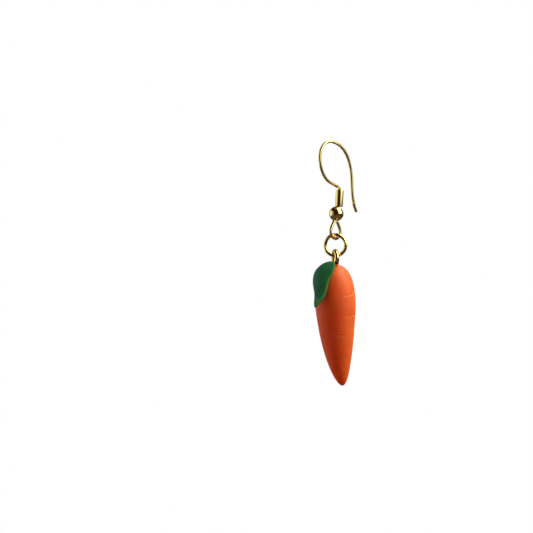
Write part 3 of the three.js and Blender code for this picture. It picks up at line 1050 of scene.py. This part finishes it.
def press_marks(turn, depth):
    """(how deep, from 0 to 1, with lips below 0; how much painted shade) at each turn in degrees and depth.
    """
    groove = np.zeros(np.broadcast(turn, depth).shape)
    painted_light = groove.copy()
    for from_turn, from_depth, to_turn, to_depth, firmness in PRESS_LINES:
        aside = (turn - (from_turn + to_turn) / 2 + 180) % 360 - 180
        along = aside / (to_turn - from_turn) + 0.5  # 0 at the line's start and 1 at its end
        middle = np.clip(1 - (2 * along - 1) ** 2, 0, 1)
        sag = PRESS_SAG * ((to_turn - from_turn) / PRESS_SAG_SPAN) ** 2
        line = from_depth + (to_depth - from_depth) * along + sag * middle
        below = depth - line
        fade = firmness * np.clip(middle * PRESS_FADE, 0, 1) ** PRESS_FADE_POWER
        slope = np.clip(np.where(below < 0, 1 + below / PRESS_ABOVE, 1 - below / PRESS_BELOW), 0, 1)
        cut = np.where(below < 0, slope**PRESS_ABOVE_POWER, slope)
        lip = np.exp(-(((below - PRESS_LIP_AT) / PRESS_LIP_WIDTH) ** 2))
        groove += fade * (cut - PRESS_LIP * lip)
        # Painted shade along the line.
        near = np.clip(1 - np.abs(below) / PRESS_SHADE_WIDTH, 0, 1)
        painted_light = np.maximum(painted_light, PRESS_SHADE * fade * near)
    return groove, painted_light


def hand_rolled(points):
    """How far the clay strays from round at each point, from about -1 to 1."""
    (broad, broad_size), (fine, fine_size) = STRAY_BROAD, STRAY_FINE
    shift = Vector(STRAY_FINE_SHIFT)
    places = [Vector(point) for point in points.reshape(-1, 3)]
    waves = [
        broad * noise.noise(place / broad_size) + fine * noise.noise(place / fine_size + shift)
        for place in places
    ]
    return np.array(waves).reshape(points.shape[:-1])


def eye_seat(x, y, depth):
    """(how far the clay's top rises, how much painted shade) where the eye is set.

    The clay swells up round the eye's foot and has a nick in front of it, darkened with painted shade.
    """
    eye_x, eye_y = EYE_CENTRE[0] - CARROT_TOP[0], EYE_CENTRE[1] - CARROT_TOP[1]
    turn = math.radians(EYE_TURN)
    along = (x - eye_x) * math.cos(turn) + (y - eye_y) * math.sin(turn)
    across = (y - eye_y) * math.cos(turn) - (x - eye_x) * math.sin(turn)
    ring = np.hypot(along / SWELL_LENGTH, across / SWELL_WIDTH)
    nick = np.exp(-(((x - NICK_AT[0]) / NICK_WIDTH) ** 2) - ((y - NICK_AT[1]) / NICK_WIDTH) ** 2)
    near_top = np.clip(SEAT_DEPTH - depth, 0, 1)
    lift = (SWELL_HEIGHT * np.exp(-(ring**SWELL_POWER)) - NICK_DEPTH * nick) * near_top
    return lift, nick * near_top


class EARRING_OT_carrot(bpy.types.Operator):
    """Roll the clay carrot, with its pressed lines and the swell where the eye is set"""

    bl_idname = "earring.carrot"
    bl_label = "Carrot"

    def execute(self, context):
        size = context.scene.earring_clay
        turns = np.linspace(0, 2 * math.pi, CARROT_SIDES, endpoint=False)
        depth, turn = np.meshgrid(carrot_rows(), turns, indexing="ij")
        groove, painted_light = press_marks(np.degrees(turn), depth)
        out = np.stack([np.sin(turn), -np.cos(turn), 0 * turn], axis=2)
        radius = carrot_radius(depth)
        round_points = out * radius[..., None] - depth[..., None] * (0, 0, 1)
        settle = np.clip(radius / STRAY_SETTLE, 0, 1)
        stray = size.unevenness / MM * settle * (hand_rolled(round_points) - STRAY_INWARD)
        reach = radius + stray - size.press_depth / MM * groove
        rings = out * reach[..., None]
        rings[..., 0] += carrot_aside(depth)
        lift, seat_shade = eye_seat(rings[..., 0], rings[..., 1], depth)
        rings[..., 2] = lift - depth
        top = (0, 0, eye_seat(0, 0, 0)[0])
        tip = (carrot_aside(CARROT_LENGTH), 0, -CARROT_LENGTH + CARROT_TIP_CUT)
        points, faces = skin(rings, top, tip)
        points = np.array(points) + CARROT_TOP
        piece = add_mesh("clay_carrot", points, faces, orange_clay())
        # Painted shade in the pressed lines and in the nick by the eye.
        mark_clay(piece, np.maximum(painted_light, seat_shade))
        finish_piece(piece, "charm", "orange_clay", "carrot")
        return {"FINISHED"}


# ---------------------------------------------------------------- clay leaf


def leaf_outline(along):
    """Half of the leaf's width along its midrib, as a share of the widest."""
    back = np.clip((LEAF_WIDEST - along) / LEAF_WIDEST, 0, 1)
    ahead = np.clip((along - LEAF_WIDEST) / (1 - LEAF_WIDEST), 0, 1)
    taper = (1 - ahead**LEAF_TAPER_POWER) ** LEAF_TAPER_ROUND
    return np.where(along < LEAF_WIDEST, np.sqrt(1 - back**2), taper)


def laid_on_clay(points):
    """Points of the leaf that would be deep in the carrot, raised to just under its skin."""
    depth = np.clip(-points[:, 2], CARROT_TIP_CUT, CARROT_LENGTH - CARROT_TIP_CUT)
    aside = points[:, 0] - carrot_aside(depth)
    far = np.hypot(aside, points[:, 1])
    least = carrot_radius(depth) - LEAF_SINK
    grow = np.where((far < least) & (points[:, 2] < 0), least / np.maximum(far, LEAST), 1.0)
    out = points.copy()
    out[:, 0] = carrot_aside(depth) + aside * grow
    out[:, 1] *= grow
    return np.where((points[:, 2] < 0)[:, None], out, points)


class EARRING_OT_leaf(bpy.types.Operator):
    """Shape the clay leaf: a dished blade with a rounded rim, baked onto the carrot's shoulder"""

    bl_idname = "earring.leaf"
    bl_label = "Leaf"

    def execute(self, context):
        size = context.scene.earring_clay
        along = (1 - np.cos(np.linspace(0, math.pi, LEAF_ROWS + 1)[1:-1])) / 2  # share of the midrib
        path = catmull_rom([(out, aside, -down) for out, aside, down in LEAF_MIDRIB], LEAF_RUN_STEPS)
        centre = spread(path, along)
        before = spread(path, np.clip(along - LEAF_AHEAD, 0, 1))
        ahead = spread(path, np.clip(along + LEAF_AHEAD, 0, 1)) - before
        ahead /= np.linalg.norm(ahead, axis=1)[:, None]
        outward = np.stack([-ahead[:, 2], 0 * along, ahead[:, 0]], axis=1)
        half = size.leaf_half_width / MM * leaf_outline(along)
        thickness = size.leaf_thickness / MM
        thick = thickness / 2 * np.minimum(1, (half / thickness) ** LEAF_THINNING)
        angle = np.linspace(0, 2 * math.pi, LEAF_SIDES, endpoint=False)[None]
        across = half[:, None] * np.cos(angle)
        rise = np.sin(angle)
        up = thick[:, None] * np.sign(rise) * np.abs(rise) ** LEAF_EDGE_POWER
        face = np.maximum(half - LEAF_RIM, LEAST)[:, None]
        inner = np.clip(1 - (np.abs(across) / face) ** LEAF_RIM_POWER, 0, 1)
        inner *= np.clip((1 - along[:, None]) / LEAF_TIP_RIM, 0, 1)
        inner *= np.clip(half[:, None] / LEAF_DISH_FULL, 0, 1)
        bed = LEAF_BED * np.clip(1 - along / LEAF_BED_REACH, 0, 1)[:, None] * np.abs(rise) ** LEAF_BED_POWER
        up -= np.where(rise > 0, size.leaf_dish / MM * inner, bed)
        up -= across**2 / (2 * LEAF_CUP_RADIUS)
        rings = centre[:, None] + outward[:, None] * up[..., None]
        rings[..., 1] += across
        points, faces = skin(rings, path[0], path[-1])
        points = laid_on_clay(turned_about_z(np.array(points), LEAF_TURN - 90)) + CARROT_TOP
        piece = add_mesh("clay_leaf", points, faces, green_clay())
        # Painted highlight: on the leaf's face, the rim and a band near the tip are paled.
        leaf_highlight = LEAF_HIGHLIGHT * np.clip(along / LEAF_HIGHLIGHT_FROM, 0, 1)[:, None] ** 2
        near_tip = np.clip((along - LEAF_HIGHLIGHT_TIP) / (1 - LEAF_HIGHLIGHT_TIP), 0, 1)[:, None]
        tip_highlight = np.clip(LEAF_HIGHLIGHT_FADE * near_tip, 0, 1) * np.clip(LEAF_HIGHLIGHT_FADE * (1 - near_tip), 0, 1)
        rim_highlight = (1 - inner) ** LEAF_HIGHLIGHT_POWER
        mark_clay(piece, leaf_highlight * np.maximum(rim_highlight, tip_highlight) * np.clip(LEAF_HIGHLIGHT_TURN * rise, 0, 1))
        finish_piece(piece, "charm", "green_clay", "leaf")
        return {"FINISHED"}


# ---------------------------------------------------------------- studio


def soft_box(name, place, power, colour):
    """A square light aimed at the carrot."""
    azimuth, elevation, size = place
    data = bpy.data.lights.new(name, "AREA")
    data.size = size
    data.energy = power
    data.color = colour
    lamp = add_object(name, data)
    turn, lift = math.radians(azimuth), math.radians(elevation)
    toward = Vector((math.sin(turn) * math.cos(lift), -math.cos(turn) * math.cos(lift), math.sin(lift)))
    lamp.location = Vector(LIGHT_AIM) + LIGHT_DISTANCE * toward
    lamp.rotation_euler = toward.to_track_quat("Z", "Y").to_euler()
    return lamp


def studio_world(ambient):
    """White to the camera and a dim warm room to the clay.

    What the gold mirrors is a dark brown room with white panels on its left and right.
    """
    world = bpy.data.worlds.new("Studio")
    world.use_nodes = True
    tree = world.node_tree
    tree.nodes.clear()
    toward = add_node(tree, "ShaderNodeTexCoord").outputs["Generated"]
    away = add_node(tree, "ShaderNodeSeparateXYZ", Vector=toward).outputs
    front = add_node(tree, "ShaderNodeMath", {"operation": "MULTIPLY"}, i0=away["Y"], i1=-1.0)
    turn = add_node(tree, "ShaderNodeMath", {"operation": "ARCTAN2"}, i0=away["X"], i1=front.outputs[0])
    degrees = add_node(tree, "ShaderNodeMath", {"operation": "DEGREES"}, i0=turn.outputs[0])
    brightnesses = []  # each a ramp of straight runs from stop to stop
    for value, stops in (
        (degrees.outputs[0], PANELS_AROUND),
        (away["Z"], LEFT_PANEL_HEIGHT),
        (away["Z"], RIGHT_PANEL_HEIGHT),
        (away["Z"], TABLE_HEIGHT),
    ):
        low, high = stops[0][0], stops[-1][0]
        place = add_node(tree, "ShaderNodeMapRange", Value=value, From_Min=low, From_Max=high)
        ramp = add_node(tree, "ShaderNodeValToRGB", Fac=place.outputs[0])
        elements = ramp.color_ramp.elements
        for stop, brightness in stops:
            element = elements[-1] if stop == high else elements.new((stop - low) / (high - low))
            element.color = (brightness, brightness, brightness, 1.0)
        elements.remove(elements[0])
        brightnesses.append(ramp.outputs["Color"])
    around, left, right, table = brightnesses
    side = add_node(tree, "ShaderNodeMapRange", Value=away["X"], From_Min=-PANEL_BLEND, From_Max=PANEL_BLEND)
    height = add_node(tree, "ShaderNodeMix", {"data_type": "RGBA"}, i0=side.outputs[0], i6=left, i7=right)
    share = add_node(tree, "ShaderNodeMath", {"operation": "MULTIPLY"}, i0=around, i1=height.outputs[2])
    panel = add_node(
        tree,
        "ShaderNodeMix",
        {"data_type": "RGBA"},
        i0=side.outputs[0],
        i6=linear(LEFT_PANEL),
        i7=linear(RIGHT_PANEL),
    )
    bright = add_node(tree, "ShaderNodeMath", {"operation": "MAXIMUM"}, i0=share.outputs[0], i1=table)
    mirrored = add_node(
        tree,
        "ShaderNodeMix",
        {"data_type": "RGBA"},
        i0=bright.outputs[0],
        i6=linear(MIRRORED_ROOM),
        i7=panel.outputs[2],
    )
    mirror = add_node(tree, "ShaderNodeBackground", Color=mirrored.outputs[2], Strength=PANEL_STRENGTH)
    room = add_node(tree, "ShaderNodeBackground", Color=(*ambient, 1.0))
    white = add_node(tree, "ShaderNodeBackground", Color=(1.0, 1.0, 1.0, 1.0))
    ray = add_node(tree, "ShaderNodeLightPath").outputs
    glossy, direct = ray["Is Glossy Ray"], ray["Is Camera Ray"]
    lit = add_node(tree, "ShaderNodeMixShader", i0=glossy, i1=room.outputs[0], i2=mirror.outputs[0])
    seen = add_node(tree, "ShaderNodeMixShader", i0=direct, i1=lit.outputs[0], i2=white.outputs[0])
    add_node(tree, "ShaderNodeOutputWorld", Surface=seen.outputs[0])
    return world


class EARRING_OT_studio(bpy.types.Operator):
    """Set the pale floor, the soft lights and the camera"""

    bl_idname = "earring.studio"
    bl_label = "Studio"

    def execute(self, context):
        scene = context.scene
        size = scene.earring_studio
        material, tree = new_material("Pale floor, evenly lit through")
        close_material(tree, add_node(tree, "ShaderNodeEmission", Color=(1.0, 1.0, 1.0, 1.0)))
        level = size.floor_height / MM
        signs = ((-1, -1), (1, -1), (1, 1), (-1, 1))
        corners = [(x * FLOOR_REACH, y * FLOOR_REACH, level) for x, y in signs]
        floor = add_mesh("studio_floor", corners, [(0, 1, 2, 3)], material)
        floor.visible_diffuse = False
        floor.visible_glossy = False

        soft_box("key", KEY_LIGHT, size.key_power, tuple(size.key_colour))
        fill = soft_box("fill", FILL_LIGHT, size.fill_power, tuple(size.fill_colour))
        fill.visible_glossy = False
        soft_box("top", TOP_LIGHT, size.top_power, tuple(size.top_colour))
        scene.world = studio_world(size.ambient)
        scene.view_settings.view_transform = "Standard"

        data = bpy.data.cameras.new("camera")
        data.lens = data.sensor_width * size.view_distance / size.view_width
        data.clip_start, data.clip_end = CAMERA_REACH
        camera = add_object("camera", data)
        camera.location = (size.view_aside, -size.view_distance, size.view_height)
        camera.rotation_euler = (math.pi / 2, 0, 0)
        scene.camera = camera
        return {"FINISHED"}


# ---------------------------------------------------------------- panel and registration


class EARRING_PT_panel(bpy.types.Panel):
    """Lists the earring's pieces and settings"""

    bl_idname = "EARRING_PT_panel"
    bl_label = "Carrot drop earring"
    bl_space_type = "VIEW_3D"
    bl_region_type = "UI"
    bl_category = "Earring"

    def draw(self, context):
        layout = self.layout
        for piece in PIECES:
            layout.operator(piece.bl_idname)
        for holder in SETTINGS:
            settings = getattr(context.scene, holder)
            box = layout.box()
            for name in settings.bl_rna.properties.keys():
                if name not in ("rna_type", "name"):
                    box.prop(settings, name)


PIECES = (
    EARRING_OT_ear_wire,
    EARRING_OT_sleeve_and_bead,
    EARRING_OT_jump_ring,
    EARRING_OT_screw_eye,
    EARRING_OT_carrot,
    EARRING_OT_leaf,
    EARRING_OT_studio,
)
SETTINGS = {
    "earring_gold": GoldSettings,
    "earring_clay": ClaySettings,
    "earring_studio": StudioSettings,
}


def register():
    for kind in (*SETTINGS.values(), *PIECES, EARRING_PT_panel):
        bpy.utils.register_class(kind)
    for name, kind in SETTINGS.items():
        setattr(bpy.types.Scene, name, bpy.props.PointerProperty(type=kind))


def unregister():
    for name in SETTINGS:
        delattr(bpy.types.Scene, name)
    for kind in (EARRING_PT_panel, *reversed(PIECES), *reversed(SETTINGS.values())):
        bpy.utils.unregister_class(kind)


def main():
    register()
    bpy.ops.earring.ear_wire()
    bpy.ops.earring.sleeve_and_bead()
    bpy.ops.earring.jump_ring()
    bpy.ops.earring.screw_eye()
    bpy.ops.earring.carrot()
    bpy.ops.earring.leaf()
    bpy.ops.earring.studio()


if __name__ == "__main__":
    main()
